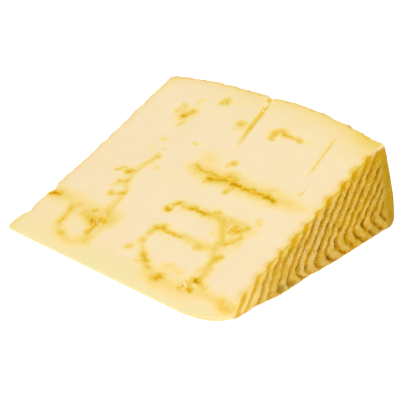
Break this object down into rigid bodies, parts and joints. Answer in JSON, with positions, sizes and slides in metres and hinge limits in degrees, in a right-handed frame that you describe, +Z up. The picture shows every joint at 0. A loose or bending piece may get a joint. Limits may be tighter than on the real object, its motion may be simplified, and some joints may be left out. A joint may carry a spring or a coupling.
{
  "type": "cheese wedge",
  "caption": "Wedge of firm veined cheese with a natural rind, cut from a small wheel and lying on a cut face.",
  "frame": {"origin": "middle of the wedge's footprint, on the cut face it rests on", "axes": "+Z up from the cut face it rests on; +X from the thin edge, where the two cuts meet, towards the wheel's rim; Y along the wheel's own axis, with the end shown in the picture at -Y"},
  "size_m": [0.1098, 0.1084, 0.0416],
  "materials": {
    "cheese": "satin"
  },
  "bodies": {
    "root": {"cheese_wedge": "cheese"}
  },
  "joints": []
}
